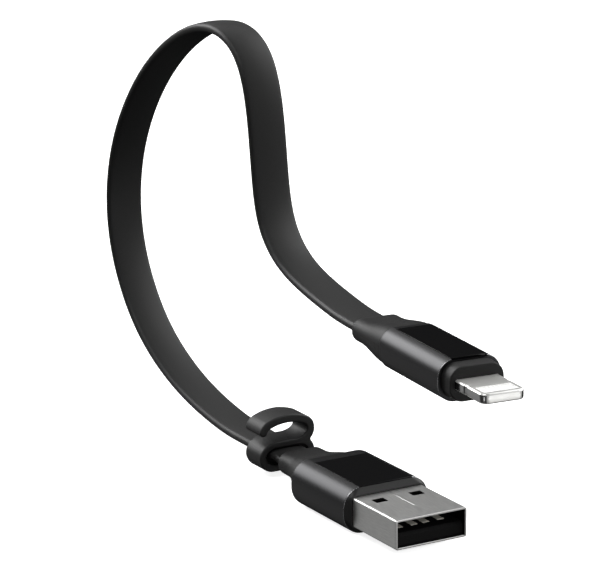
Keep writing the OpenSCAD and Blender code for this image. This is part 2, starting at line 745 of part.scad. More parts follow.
type_a_shell();
type_a_tongue();
type_a_contact_power();
type_a_contact_data_minus();
type_a_contact_data_plus();
type_a_contact_ground();
type_a_inner_mould();
type_a_end_cap();
type_a_sleeve();
type_a_top_plate();
type_a_strain_relief();
cable_jacket();
wire_power();
wire_data_minus();
wire_data_plus();
wire_ground();
keeper();
phone_tab_frame();
phone_tab_insulator();
phone_contacts_top();
phone_contacts_bottom();
phone_board();
phone_control_chip();
phone_board_parts();
phone_shield_can();
phone_inner_mould();
phone_end_cap();
phone_sleeve();
phone_top_plate();
phone_strain_relief();
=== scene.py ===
"""Charging cable: the looks of a short flat cable with a type A plug, a phone plug and a rubber keeper."""

import itertools
import math

import bmesh
import bpy
import numpy as np
from bpy.props import FloatProperty, IntProperty, PointerProperty, StringProperty
from mathutils import Matrix, Vector


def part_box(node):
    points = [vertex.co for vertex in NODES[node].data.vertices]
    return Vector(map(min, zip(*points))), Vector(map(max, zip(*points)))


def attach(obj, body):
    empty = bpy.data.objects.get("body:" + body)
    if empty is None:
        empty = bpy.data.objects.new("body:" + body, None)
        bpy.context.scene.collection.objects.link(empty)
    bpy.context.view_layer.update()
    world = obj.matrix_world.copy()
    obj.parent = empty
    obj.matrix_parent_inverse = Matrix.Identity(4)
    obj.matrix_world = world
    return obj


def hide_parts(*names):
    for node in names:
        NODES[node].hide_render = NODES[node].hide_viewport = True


bl_info = {
    "name": "Charging Cable",
    "version": (1, 0, 0),
    "blender": (4, 5, 0),
    "location": "View3D > Sidebar > Charging Cable",
    "description": "Builds the visible pieces of a flat charging cable around its CAD frame",
    "category": "Add Mesh",
}

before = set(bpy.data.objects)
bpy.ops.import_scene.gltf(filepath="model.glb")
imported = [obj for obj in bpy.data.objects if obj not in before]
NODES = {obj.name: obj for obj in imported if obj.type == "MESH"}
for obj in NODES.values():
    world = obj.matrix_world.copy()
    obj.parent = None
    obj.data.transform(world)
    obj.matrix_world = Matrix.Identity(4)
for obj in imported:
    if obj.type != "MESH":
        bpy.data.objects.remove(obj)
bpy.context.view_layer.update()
MM = 0.001


def reach(node, axis):
    """Lowest and highest place of a CAD node along one axis, in metres."""
    low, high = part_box(node)
    return low[axis], high[axis]


def span(node, axis):
    """Size of a CAD node along one axis, in metres."""
    low, high = reach(node, axis)
    return high - low


# ---- sizes and colours that a user would change ----


def length(name, text, default):
    """A length that can't be negative, in metres."""
    return FloatProperty(name=name, description=text, default=default, min=0.0, unit="LENGTH", precision=5)


def shade(name, text, default):
    """A colour as an sRGB hex value."""
    return StringProperty(name=name, description=f"Colour of the {text}, as an sRGB hex value", default=default)


def amount(name, text, default, unit="NONE"):
    """A strength or a power that can't be negative."""
    return FloatProperty(name=name, description=text, default=default, min=0.0, unit=unit)


class CableSizes(bpy.types.PropertyGroup):
    width: length("Width", "Width of the flat cable", 0.0063)
    thickness: length("Thickness", "Thickness of the flat cable", 0.00176)
    swell: length("Swell", "How far each flat face swells over the wires", 0.0002)
    full_length: length("Length", "Length of the cable from sleeve to sleeve", 0.2175)
    steps: IntProperty(name="Steps", description="Rings to each control point of the route", default=10, min=2)


class TypeASizes(bpy.types.PropertyGroup):
    sleeve_width: length("Sleeve width", "Width of the type A sleeve", span("type_a_sleeve", 1))
    sleeve_height: length("Sleeve height", "Height of the type A sleeve", span("type_a_sleeve", 2))
    shell_width: length("Metal width", "Width of the metal shell", span("type_a_shell", 1))
    shell_height: length("Metal height", "Height of the metal shell", span("type_a_shell", 2))
    shell_wall: length("Metal wall", "Wall of the metal shell", 0.0003)


class PhoneSizes(bpy.types.PropertyGroup):
    sleeve_width: length("Sleeve width", "Width of the phone plug's sleeve", 0.00972)
    sleeve_height: length("Sleeve height", "Height of the phone plug's sleeve", span("phone_sleeve", 2))
    tab_width: length("Tab width", "Width of the metal tab", 0.0067)
    tab_thickness: length("Tab thickness", "Thickness of the metal tab", span("phone_tab_frame", 2))
    pad_count: IntProperty(name="Pads", description="Contact pads on each face", default=8, min=1)
    pad_pitch: length("Pad pitch", "Distance from one pad to the next", 0.00066)


class KeeperSizes(bpy.types.PropertyGroup):
    wall: length("Wall", "Thickness of the keeper's strap", 0.0011)
    edge: length("Edge radius", "Radius of the strap's moulded edges", 0.00028)


class Finishes(bpy.types.PropertyGroup):
    jacket: shade("Jacket", "cable's jacket", "#232323")
    rubber: shade("Rubber", "strain reliefs and the keeper", "#1b1b1b")
    sleeve: shade("Sleeve", "anodised sleeves", "#323233")
    # Rim colour: a light colour on the sleeves' front rim, a painted highlight line
    rim_painted_highlight: shade("Rim highlight", "sleeves' front rim, lightened as a painted highlight", "#a0a0a2")
    cap: shade("End cap", "plugs' end caps", "#1b1b1b")
    plate: shade("Top plate", "glossy top plates", "#060607")
    steel: shade("Steel", "type A shell", "#bebebc")
    nickel: shade("Nickel", "phone plug's tab", "#e6e6e3")
    # Tab flanks: a darker copy of the nickel, painted shade on the tab's sides
    flank: shade("Tab flanks", "tab's flanks, darkened as painted shade", "#a2a2a2")


class StageSettings(bpy.types.PropertyGroup):
    floor_size: length("Floor", "Side of the square floor", 6.0)
    floor_glow: amount("Floor glow", "How strongly the light table glows", 0.8)
    card_light: amount("Card light", "Brightness of the soft cards round the table", 1.0)
    room_light: amount("Room light", "Even light of the dark room", 0.06)
    tab_power: amount("Tab light", "Power of the small card before the phone plug's tab", 0.0041, "POWER")
    mouth_power: amount("Mouth light", "Power of the card before the type A mouth", 0.0022, "POWER")


# ---- places ----

# The phone plug, in millimetres: its tab's nose in the shared frame, and on its own axis its sleeve's two ends
PHONE_TIP = np.array([48.5, -6.5, 31.7])
PHONE_TURN = math.radians(-5)
PHONE_BACK, PHONE_FRONT = -27.8, -10.0
# The type A plug, in millimetres: its sleeve's back end, and the height of its axis
TYPE_A_BACK = -7.5
AXIS_Z = sum(reach("type_a_sleeve", 2)) / 2 / MM


def as_given(points):
    """Points that are in the shared frame already."""
    return np.asarray(points, float)


def at_type_a(points):
    """Points on the type A plug's axis to the shared frame, in millimetres."""
    return np.asarray(points, float) + [0, 0, AXIS_Z]


def at_phone(points):
    """Points on the phone plug's own axis, tab's nose at 0, to the shared frame, in millimetres."""
    p = np.asarray(points, float)
    c, s = math.cos(PHONE_TURN), math.sin(PHONE_TURN)
    turned = np.stack([c * p[..., 0] - s * p[..., 1], s * p[..., 0] + c * p[..., 1], p[..., 2]], -1)
    return turned + PHONE_TIP


# ---- meshes ----

CREASE = 32  # edges that turn by more degrees than this stay crisp


def smooth(t):
    """Eases a share from 0 to 1, level at both ends."""
    return t * t * (3 - 2 * t)


def mix(a, b, t):
    """The value that lies a share t of the way from a to b."""
    return a + (b - a) * t


def arc(y, z, across, up, start, end, steps=10):
    """Rows along an elliptical arc; angles in degrees."""
    turns = np.radians(np.linspace(start, end, steps + 1))
    return np.column_stack([y + across * np.cos(turns), z + up * np.sin(turns)])


def rounded_polygon(corners, steps=8):
    """Polygon with its corners rounded; each corner is [y, z, radius]."""
    rows = []
    pts = np.array([c[:2] for c in corners], float)
    for i, corner in enumerate(corners):
        p, a, b = pts[i], pts[i - 1], pts[(i + 1) % len(pts)]
        u, v = (a - p) / np.linalg.norm(a - p), (b - p) / np.linalg.norm(b - p)
        half = math.acos(max(-1, min(1, float(u @ v)))) / 2
        radius = corner[2]
        if radius <= 0 or half > math.pi / 2 - 0.01:
            rows.append(p)
            continue
        middle = p + (u + v) / np.linalg.norm(u + v) * radius / math.sin(half)
        start, end = p + u * radius / math.tan(half), p + v * radius / math.tan(half)
        a0 = math.atan2(*(start - middle)[::-1])
        a1 = math.atan2(*(end - middle)[::-1])
        turn = (a1 - a0 + math.pi) % (2 * math.pi) - math.pi
        for k in range(steps + 1):
            a = a0 + turn * k / steps
            rows.append(middle + radius * np.array([math.cos(a), math.sin(a)]))
    return np.array(rows)


def outline(width, height, radius, steps=8):
    """Rounded rectangle across the plug, counter-clockwise seen from the front, as [y, z] rows."""
    rows = []
    for quarter, (sy, sz) in enumerate([(1, 1), (-1, 1), (-1, -1), (1, -1)]):
        y, z = sy * (width / 2 - radius), sz * (height / 2 - radius)
        rows.append(arc(y, z, radius, radius, 90 * quarter, 90 * (quarter + 1), steps))
    return np.concatenate(rows)


def section(x, width, height, radius, steps=8):
    """One ring across the plug at x."""
    rows = outline(width, height, radius, steps)
    return np.column_stack([np.full(len(rows), x), rows])


def link(data, name):
    """Puts a new object with the given data into the scene."""
    obj = bpy.data.objects.new(name, data)
    bpy.context.scene.collection.objects.link(obj)
    return obj


def tidy(mesh, crease=CREASE):
    """Merges doubles, turns faces outwards, and marks edges sharper than the angle."""
    bm = bmesh.new()
    bm.from_mesh(mesh)
    bmesh.ops.remove_doubles(bm, verts=bm.verts, dist=2e-7)
    bmesh.ops.dissolve_degenerate(bm, edges=bm.edges, dist=1e-8)
    bmesh.ops.recalc_face_normals(bm, faces=bm.faces)
    for face in bm.faces:
        face.smooth = True
    for edge in bm.edges:
        edge.smooth = len(edge.link_faces) == 2 and edge.calc_face_angle(0) < math.radians(crease)
    bm.to_mesh(mesh)
    bm.free()
    return mesh


def solid(name, rings, place, closed=False, crease=CREASE):
    """Skins a row of rings; closed joins the last ring to the first, as round a hollow sleeve."""
    rings = [place(r) * MM for r in rings]
    n = len(rings[0])
    faces = []
    pairs = list(zip(range(len(rings)), range(1, len(rings))))
    if closed:
        pairs.append((len(rings) - 1, 0))
    for a, b in pairs:
        faces += [(a * n + k, b * n + k, b * n + (k + 1) % n, a * n + (k + 1) % n) for k in range(n)]
    if not closed:
        faces += [tuple(range(n))[::-1], tuple(range((len(rings) - 1) * n, len(rings) * n))]
    mesh = bpy.data.meshes.new(name)
    mesh.from_pydata(np.concatenate(rings).tolist(), [], faces)
    return link(tidy(mesh, crease), name)


def plain_mesh(obj):
    """The mesh that an object's curve or modifiers come to."""
    return bpy.data.meshes.new_from_object(obj.evaluated_get(bpy.context.evaluated_depsgraph_get()))


def flatten(obj, crease=CREASE):
    """Turns an object's live modifiers into its plain mesh."""
    done = plain_mesh(obj)
    obj.modifiers.clear()
    obj.data = done
    tidy(done, crease)
    return obj


def keep_flats(obj):
    """Weighted normals, so that flats beside small fillets stay flat in reflections."""
    mod = obj.modifiers.new("flats", "WEIGHTED_NORMAL")
    mod.keep_sharp = True
    mod.weight = 80
    return obj


def block(name, low, high, place, bevel=0.0, segments=3):
    """Box with rounded edges."""
    corners = list(itertools.product(*zip(low, high)))
    faces = [(0, 1, 3, 2), (4, 6, 7, 5), (0, 4, 5, 1), (2, 3, 7, 6), (0, 2, 6, 4), (1, 5, 7, 3)]
    mesh = bpy.data.meshes.new(name)
    mesh.from_pydata((place(corners) * MM).tolist(), [], faces)
    obj = link(tidy(mesh), name)
    if bevel:
        mod = obj.modifiers.new("edges", "BEVEL")
        mod.width, mod.segments, mod.limit_method = bevel * MM, segments, "ANGLE"
        flatten(obj, 50)
    return obj


def cut(obj, tool):
    """Takes the tool's shape out of the object."""
    mod = obj.modifiers.new("cut", "BOOLEAN")
    mod.operation, mod.object, mod.solver = "DIFFERENCE", tool, "EXACT"
    flatten(obj)
    bpy.data.objects.remove(tool)
    return obj


def fillet(x0, x1, start, end, steps):
    """Quarter-round profile as [x, inset] rows, from (x0, start) to (x1, end), bulging outwards."""
    rows = []
    for k in range(steps + 1):
        a = math.pi / 2 * k / steps
        if start > end:
            rows.append([x1 + (x0 - x1) * math.cos(a), end + (start - end) * (1 - math.sin(a))])
        else:
            rows.append([x0 + (x1 - x0) * math.sin(a), start + (end - start) * (1 - math.cos(a))])
    return rows


# ---- materials ----

MATERIALS = {}
MICRO = 1e6  # micrometres in a metre
GRAIN_BAND = (0.3, 0.7)  # the part of the noise's range that the grain takes up


def linear(code):
    """sRGB hex to linear red, green, blue and alpha."""
    value = [int(code[i : i + 2], 16) / 255 for i in (1, 3, 5)]
    return [c / 12.92 if c <= 0.04045 else ((c + 0.055) / 1.055) ** 2.4 for c in value] + [1.0]


def add(tree, kind, settings=None, values=None, links=None):
    """Adds one node with its settings, its input values and its incoming links."""
    item = tree.nodes.new(kind)
    for key, value in (settings or {}).items():
        setattr(item, key, value)
    for key, value in (values or {}).items():
        item.inputs[key].default_value = value
    for key, source in (links or {}).items():
        tree.links.new(source, item.inputs[key])
    return item


def material(name, code, metallic=0.0, roughness=0.5, extra=None):
    """Starts a material and hands back its tree, shader and Object coordinates."""
    mat = bpy.data.materials.new(name)
    mat.use_nodes = True
    tree = mat.node_tree
    shader = tree.nodes["Principled BSDF"]
    shader.inputs["Base Color"].default_value = linear(code)
    shader.inputs["Metallic"].default_value = metallic
    shader.inputs["Roughness"].default_value = roughness
    for key, value in (extra or {}).items():
        shader.inputs[key].default_value = value
    place = add(tree, "ShaderNodeTexCoord").outputs["Object"]
    return mat, tree, shader, place


def grain(tree, shader, place, size, depth, strength, stretch=(1, 1, 1), detail=3.0):
    """Fine surface grain as bump; its size and depth are in micrometres."""
    spread = add(tree, "ShaderNodeMapping", values={"Scale": stretch}, links={"Vector": place})
    pattern = {"Scale": 1 / (size / MICRO), "Detail": detail, "Roughness": 0.6}
    fac = add(tree, "ShaderNodeTexNoise", values=pattern, links={"Vector": spread.outputs[0]}).outputs["Fac"]
    bumps = {"Distance": depth / MICRO, "Strength": strength}
    bump = add(tree, "ShaderNodeBump", values=bumps, links={"Height": fac})
    tree.links.new(bump.outputs[0], shader.inputs["Normal"])
    return fac


def vary(tree, fac, low, high, socket):
    """Spreads a pattern between two numbers or two colours on a shader's socket."""
    if isinstance(low, str):
        ramp = add(tree, "ShaderNodeValToRGB", links={"Fac": fac})
        for element, place, code in zip(ramp.color_ramp.elements, GRAIN_BAND, (low, high)):
            element.position, element.color = place, linear(code)
    else:
        limits = {"From Min": GRAIN_BAND[0], "From Max": GRAIN_BAND[1], "To Min": low, "To Max": high}
        ramp = add(tree, "ShaderNodeMapRange", values=limits, links={"Value": fac})
    tree.links.new(ramp.outputs[0], socket)


def scaled(code, share):
    """The same colour, scaled by a share."""
    parts = [round(int(code[i : i + 2], 16) * share) for i in (1, 3, 5)]
    return "#" + "".join(f"{min(255, max(0, part)):02x}" for part in parts)


def finish(key, name, code, grit, metallic=0.0, rough=0.5, extra=None, mottle=None, **layout):
    """Makes one material. grit is its grain's size and depth in micrometres and its strength; rough is one
    value, or the two that the grain runs between; mottle gives two shares that it scales the colour by."""
    spread = rough if isinstance(rough, tuple) else None
    mat, tree, shader, place = material(name, code, metallic, sum(spread) / 2 if spread else rough, extra)
    fac = grain(tree, shader, place, *grit, **layout)
    if mottle:
        vary(tree, fac, scaled(code, mottle[0]), scaled(code, mottle[1]), shader.inputs["Base Color"])
    if spread:
        vary(tree, fac, *spread, shader.inputs["Roughness"])
    MATERIALS[key] = mat


def plastic(ior, gloss):
    """Shader values of a plastic: its index of refraction, and how glossy its skin is."""
    return {"IOR": ior, "Specular IOR Level": gloss}


def make_materials(colours):
    """Makes every material, from the outside of the cable to what is inside the plugs."""
    # TPE jacket, extruded: soft and evenly matt, with a fine grain drawn at 0.18 mm so that it shows
    finish("jacket", "TPE jacket, extruded", colours.jacket, (180, 10, 0.25), rough=(0.44, 0.52),
           extra=plastic(1.5, 0.22), mottle=(0.93, 1.07))
    # TPE rubber, injection moulded: matt, spark-eroded grain drawn at 0.15 mm so that it shows; the strain
    # reliefs, moulded over the cable, are a little less glossy
    rubbers = {"rubber": ("TPE rubber, moulded", 0.3), "relief": ("TPE rubber, overmoulded", 0.22)}
    for key, (name, gloss) in rubbers.items():
        finish(key, name, colours.rubber, (150, 10, 0.3), rough=(0.46, 0.57),
               extra=plastic(1.5, gloss), mottle=(0.92, 1.08))
    # Aluminium, fine-blasted and black anodised: a satin metal with a soft wide highlight
    finish("anodised", "Aluminium, blasted and anodised", colours.sleeve, (80, 4, 0.25),
           metallic=1.0, rough=(0.34, 0.39), mottle=(0.94, 1.06))
    # Painted highlight: the sleeves' front rim gets a light metal colour, so that it shows as a fine bright line
    finish("rim_painted_highlight", "Aluminium rim, painted highlight", colours.rim_painted_highlight, (100, 1, 0.1),
           metallic=1.0, rough=(0.24, 0.3))
    # PC-ABS, moulded: satin, and a little more matt on the small phone plug
    finish("cap", "PC-ABS, moulded satin", colours.cap, (120, 6, 0.2), rough=(0.38, 0.48),
           extra=plastic(1.55, 0.28))
    finish("phone_cap", "PC-ABS, moulded matt", scaled(colours.cap, 1.2), (120, 6, 0.2),
           rough=(0.45, 0.55), extra=plastic(1.55, 0.18))
    # Acrylic, cut and polished: deep black with a sharp reflection
    finish("plate", "Acrylic, polished", colours.plate, (4000, 4, 0.15), rough=(0.06, 0.12),
           extra=plastic(1.49, 0.22))
    # Steel, rolled and nickel plated: grey, satin, with a faint rolling grain along the plug
    finish("steel", "Steel, rolled and nickel plated", colours.steel, (200, 2, 0.12), metallic=0.95,
           rough=(0.36, 0.44), mottle=(0.95, 1.04), stretch=(0.12, 1, 1))
    # Painted shade: the same steel, darkened, inside the mouth and on the windows' cut walls, standing in for
    # the shadow there
    finish("steel_inside", "Steel inside, painted shade", "#151313", (200, 4, 0.3), metallic=1.0, rough=0.6)
    # Nickel over stainless, tumbled: bright and slightly soft
    finish("nickel", "Nickel, tumbled", colours.nickel, (1200, 0.5, 0.04), metallic=0.65,
           rough=(0.28, 0.32), detail=0.0)
    # The same nickel on the tab's flanks, buffed to a mirror that shows the dark room; its darker colour is
    # painted shade
    finish("flank", "Nickel, buffed, painted shade", colours.flank, (1200, 0.5, 0.04), metallic=1.0,
           rough=(0.14, 0.18), detail=0.0)
    # LCP, moulded white: faintly glossy
    finish("white_insert", "LCP, moulded white", "#f6f6f4", (100, 4, 0.2), rough=0.45, extra={"IOR": 1.6})
    # Contact pads, rhodium flashed: nearly white, and soft in this light
    finish("pads", "Contact pads, plated", "#fbfbf8", (80, 2, 0.2), metallic=0.2, rough=0.35)
    # PBT insert, moulded black: dull, so that the mouth stays dark
    finish("black_insert", "PBT insert, moulded black", "#040404", (100, 5, 0.25), rough=0.75,
           extra=plastic(1.5, 0.12))
    # Contact blades, stamped and tin plated: pale, with fine drawing lines along the plug
    finish("blade", "Contact blade, stamped", "#d6d2c8", (150, 3, 0.3), metallic=0.2,
           rough=(0.28, 0.38), stretch=(0.15, 1, 1))
    # Polypropylene inner mould, natural: milky, with a little light inside
    finish("mould", "Inner mould, natural", "#dedcd2", (400, 20, 0.3), rough=0.5,
           extra={"IOR": 1.49, "Subsurface Weight": 0.1})
    # Epoxy chip package, laser-matt black
    finish("chip", "Chip package, epoxy", "#161617", (60, 4, 0.4), rough=0.6, extra={"IOR": 1.55})
    # Ceramic capacitors: tan bodies
    finish("ceramic", "Capacitor ceramic", "#a98756", (100, 4, 0.2), rough=0.4, extra={"IOR": 1.6})
    # Tinned sheet of the shield can: bright, with soft cloudy patches
    finish("tin", "Tinned sheet", "#bdbdba", (600, 4, 0.25), metallic=1.0, rough=(0.28, 0.45))
    # Wire insulation, extruded: smooth and softly glossy
    for key, code in {"red": "#9c2f28", "white": "#dcdcd6", "green": "#2f7243", "black": "#151515"}.items():
        name = f"Wire insulation, {key}"
        finish("wire_" + key, name, code, (200, 4, 0.2), rough=0.4, extra={"IOR": 1.5})
    # Glass epoxy board under green solder mask, with its weave just showing
    coated = {"IOR": 1.55, "Coat Weight": 0.3}
    mat, tree, shader, place = material("Glass epoxy board", "#1d5a3a", 0.0, 0.3, coated)
    pair = {"Scale": 1 / 0.0003, "Color1": linear("#1b5537"), "Color2": linear("#216341")}
    weave = add(tree, "ShaderNodeTexChecker", values=pair, links={"Vector": place})
    tree.links.new(weave.outputs["Color"], shader.inputs["Base Color"])
    MATERIALS["board"] = mat


def dress(obj, look, body, slot, *nodes):
    """Gives a new piece its material and its body, and hides the CAD nodes that it stands for; slot is not used.
    """
    obj.data.materials.clear()
    obj.data.materials.append(MATERIALS[look])
    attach(obj, body)
    if nodes:
        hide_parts(*nodes)
    return obj


def repaint(obj, look, chosen):
    """Gives a second material to the faces for which chosen is true."""
    obj.data.materials.append(MATERIALS[look])
    for face in obj.data.polygons:
        if chosen(face):
            face.material_index = 1


def paint(node, look):
    """Gives a CAD node its material."""
    obj = NODES[node]
    obj.data.materials.clear()
    obj.data.materials.append(MATERIALS[look])
    return obj


# ---- the cable ----

# Control points of the cable's middle line, in millimetres: straight out of the type A plug, up and round the
# loop, and then along the phone plug's own axis into that plug
ROUTE = [
    [-8, 0, 3.6], [-15, 0, 3.6], [-22, 0, 3.6], [-29, 0, 3.6],
    [-35.5, 0, 3.6], [-42, 0, 4.4], [-49.5, 0, 5.8], [-57.5, 0, 8.5], [-65, 0, 12.7],
    [-70.5, 0, 18.5], [-74.2, 0, 25.4], [-75.3, 0, 33.2], [-73.6, 0, 41], [-69.9, 0, 48],
    [-64.8, 0, 54.2], [-58.8, 0, 59.5], [-51.4, 0, 64.1], [-43.1, 0, 67.4], [-34.9, -0.1, 67.6],
    [-28.9, -0.2, 64.2], [-26, -0.4, 56.8], [-24.9, -0.5, 47.8], [-23, -0.8, 39.7], [-17, -1.1, 35],
    [-9, -1.5, 33.1], [-2.6, -2, 32.3],
] + at_phone([[x, 0, 0] for x in (-45.5, -38.5, -31.5, -24.5)]).tolist()
JACKET_SHORT = 0.8  # how far behind each sleeve's back the jacket ends
FACE_STEPS = 10
WIRES = {"wire_power": "wire_red", "wire_data_minus": "wire_white", "wire_data_plus": "wire_green",
         "wire_ground": "wire_black"}


def route_line(steps):
    """The cable's middle line: a uniform cubic B-spline through the route, with both hidden ends."""
    pts = np.array(ROUTE, float)
    rows = []
    for i in range(len(pts) - 3):
        a, b, c, d = pts[i : i + 4]
        for k in range(steps):
            t = k / steps
            near, far = 3 * t**3 - 6 * t**2 + 4, -3 * t**3 + 3 * t**2 + 3 * t + 1
            rows.append(((1 - t) ** 3 * a + near * b + far * c + t**3 * d) / 6)
    b, c, d = pts[-3:]
    rows.append((b + 4 * c + d) / 6)
    start = [[TYPE_A_BACK - JACKET_SHORT, 0, AXIS_Z]]
    end = [at_phone([PHONE_BACK - JACKET_SHORT, 0, 0]).tolist()]
    return np.concatenate([start, rows, end])


def jacket_outline(width, thickness, swell):
    """Two faces that swell a little over the wires, and round ends."""
    end = thickness / 2 - swell
    flat = width / 2 - end
    lean = math.degrees(math.atan2(2 * swell, flat))
    places = np.linspace(flat, -flat, FACE_STEPS + 1)[1:-1]
    face = [[y, thickness / 2 - swell * (y / flat) ** 2] for y in places]
    right = arc(flat, 0, end, end, 0, 90 - lean, 5)
    left = arc(-flat, 0, end, end, 90 + lean, 180, 5)
    half = np.concatenate([right, face, left])
    return np.concatenate([half[:-1], -half[:-1]])


class CABLE_OT_jacket(bpy.types.Operator):
    """Sweeps the flat jacket along its route and dresses the four wires inside it"""

    bl_idname = "charging_cable.jacket"
    bl_label = "Flat cable"

    def execute(self, context):
        sizes = context.scene.cable_sizes
        line = route_line(sizes.steps)
        shape = jacket_outline(sizes.width / MM, sizes.thickness / MM, sizes.swell / MM)
        tangents = np.gradient(line, axis=0)
        tangents /= np.linalg.norm(tangents, axis=1, keepdims=True)
        rings = []
        for p, t in zip(line, tangents):
            side = np.array([0, 1, 0]) - t[1] * t
            side /= np.linalg.norm(side)
            up = np.cross(t, side)
            rings.append(p + shape[:, :1] * side + shape[:, 1:] * up)
        obj = solid("flat_jacket", rings, as_given, crease=60)
        wires = [paint(node, look) for node, look in WIRES.items()]
        dress(obj, "jacket", "cable", "black_jacket", "cable_jacket")
        return {"FINISHED"}


# ---- the keeper ----

# Its outline across the cable, in millimetres
LOOP_R = 2.35  # outer corners of the closed loop
LOOP_RISE = 0.1  # straight piece between the loop's lower and upper corners
HOLE_R = 1.8  # corners of the loop's hole
FAR_R = 3.2  # the loop's top corner, under the hook's opening
WAIST_IN, WAIST_DROP, WAIST_R = 0.34, 0.52, 0.35  # waist between loop and hook, on the closed side
FLANK = (2.3, 2.25)  # the hook's flank above the waist, across and up
CAVITY_R = 1.1  # inner corners of the hook
CROWN_R = 7.9  # the hook's wide top
FOOT_R, FOOT_RISE = 2.2, 0.15  # inner corner where the hook leaves the loop
OPENING = 1.75  # height of the hook's free end above the loop
HOOK_SHARE = 1.2  # the hook's thickness as a share of the loop's


def keeper_outline(half, z0, z1, t):
    """The strap's outer line: round the loop, up its closed side, over the hook and back along its inside."""
    saddle = z0 + 2 * LOOP_R + LOOP_RISE
    foot = saddle + CAVITY_R + FOOT_RISE
    side = half - t - CAVITY_R
    crown = z1 - t - CROWN_R
    level = crown + math.sqrt((CROWN_R - CAVITY_R) ** 2 - side**2)
    bend = math.degrees(math.atan2(level - crown, side))
    free = 180 - math.degrees(math.asin((saddle + OPENING - level) / (CAVITY_R + t / 2)))
    hook = HOOK_SHARE * t
    outer_r, inner_r, middle_r = CAVITY_R + t, CAVITY_R + t - hook, CAVITY_R + t - hook / 2
    outer_crown_r, inner_crown_r = CROWN_R + t, CROWN_R + t - hook
    end = arc(-side, level, middle_r, middle_r, free, free, 0)[0]
    return np.concatenate([
        arc(half - LOOP_R, z0 + LOOP_R, LOOP_R, LOOP_R, -90, 0),
        arc(half - LOOP_R, z0 + LOOP_R + LOOP_RISE, LOOP_R, LOOP_R, 0, 42),
        arc(half - WAIST_IN, saddle - WAIST_DROP, WAIST_R, WAIST_R, 215, 145, 6),
        arc(half - FLANK[0], level - 0.1, *FLANK, -40, 0),
        arc(side, level, outer_r, outer_r, 0, bend),
        arc(0, crown, outer_crown_r, outer_crown_r, bend, 180 - bend, 16),
        arc(-side, level, outer_r, outer_r, 180 - bend, free),
        arc(*end, hook / 2, hook / 2, free + 12, free + 168),
        arc(-side, level, inner_r, inner_r, free, 180 - bend),
        arc(0, crown, inner_crown_r, inner_crown_r, 180 - bend, bend, 16),
        arc(side, level, inner_r, inner_r, bend, 0),
        arc(half - hook - FOOT_R, foot, FOOT_R, foot - saddle, 0, -90, 12),
        arc(-half + FAR_R, z0 + LOOP_R + LOOP_RISE, FAR_R, LOOP_R, 90, 180, 14),
        arc(-half + LOOP_R, z0 + LOOP_R, LOOP_R, LOOP_R, 180, 270),
    ])


def keeper_hole(half, z0, t):
    """The loop's hole, which clears the cable on all sides."""
    wide, tall = half - t, LOOP_R - t + LOOP_RISE / 2
    corners = ((1, 0), (-1, 90), (-1, 180), (1, 270))
    middle = z0 + t + tall
    return np.concatenate([arc(sy * (wide - HOLE_R), middle, HOLE_R, tall, a, a + 90) for sy, a in corners])


def extruded(name, outlines, x0, x1, edge):
    """A flat shape with holes, extruded along X with rounded edges."""
    curve = bpy.data.curves.new(name, "CURVE")
    curve.dimensions, curve.fill_mode = "2D", "BOTH"
    for rows in outlines:
        spline = curve.splines.new("POLY")
        spline.points.add(len(rows) - 1)
        for point, (y, z) in zip(spline.points, rows):
            point.co = (y, z, 0, 1)
        spline.use_cyclic_u = True
    curve.extrude = (x1 - x0) / 2 - edge
    curve.bevel_depth, curve.bevel_resolution, curve.offset = edge, 3, -edge
    flat = link(curve, name)
    mesh = plain_mesh(flat)
    bpy.data.objects.remove(flat)
    co = np.zeros(len(mesh.vertices) * 3)
    mesh.vertices.foreach_get("co", co)
    co = co.reshape(-1, 3)
    turned = np.column_stack([(x0 + x1) / 2 + co[:, 2], co[:, 0], co[:, 1]]) * MM
    mesh.vertices.foreach_set("co", turned.ravel())
    mesh.update()
    return link(tidy(mesh, 40), name)


class CABLE_OT_keeper(bpy.types.Operator):
    """Moulds the figure-of-eight keeper: a closed loop round the cable and an open hook above it"""

    bl_idname = "charging_cable.keeper"
    bl_label = "Keeper"

    def execute(self, context):
        sizes = context.scene.keeper_sizes
        t = sizes.wall / MM
        low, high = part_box("keeper")
        half, z0, z1 = (high.y - low.y) / 2 / MM, low.z / MM, high.z / MM
        outlines = [keeper_outline(half, z0, z1, t), keeper_hole(half, z0, t)]
        strap = extruded("keeper_strap", outlines, low.x / MM, high.x / MM, sizes.edge / MM)
        dress(keep_flats(strap), "rubber", "keeper", "black_rubber", "keeper")
        return {"FINISHED"}


# ---- what both plugs' housings share ----

RIM = 0.1  # round at a sleeve's front, coloured light as a painted highlight
BORE_PLAY = 0.1  # how much narrower than the sleeve's bore a spigot is
PLATE_DEPTH, PLATE_PROUD, PLATE_PLAY = 0.3, 0.01, 0.05
SPIGOT_DEPTH = 1.2
METAL_PLAY = 0.1  # how much wider than the metal an end cap's opening is
RELIEF_SLOT = (6.4, 1.9)
# Round end of a strain relief: distance from the end, width, height, corner
RELIEF_END = [(0, 7.3, 2.8, 1.3), (0.05, 7.6, 3.1, 1.45), (0.2, 7.9, 3.4, 1.6), (0.45, 8.0, 3.5, 1.65)]


def bore(w, h, wall):
    """Width and height of a spigot that sits in a sleeve."""
    return w - 2 * wall - BORE_PLAY, h - 2 * wall - BORE_PLAY


def make_sleeve(name, ends, w, h, wall, corner, back, place):
    """A hollow sleeve; back is the radius and the steps of the round at its back end."""
    x0, x1 = ends
    radius, steps = back
    profile = fillet(x0, x0 + radius, radius, 0, steps) + [[x1 - 0.3, 0]] + fillet(x1 - RIM, x1, 0, RIM, 4)
    rings = [section(x, w - 2 * i, h - 2 * i, corner - i, 12) for x, i in profile]
    rings += [section(x, w - 2 * wall, h - 2 * wall, corner - wall, 12) for x in (x1, x0)]
    return solid(name, rings, place, closed=True)


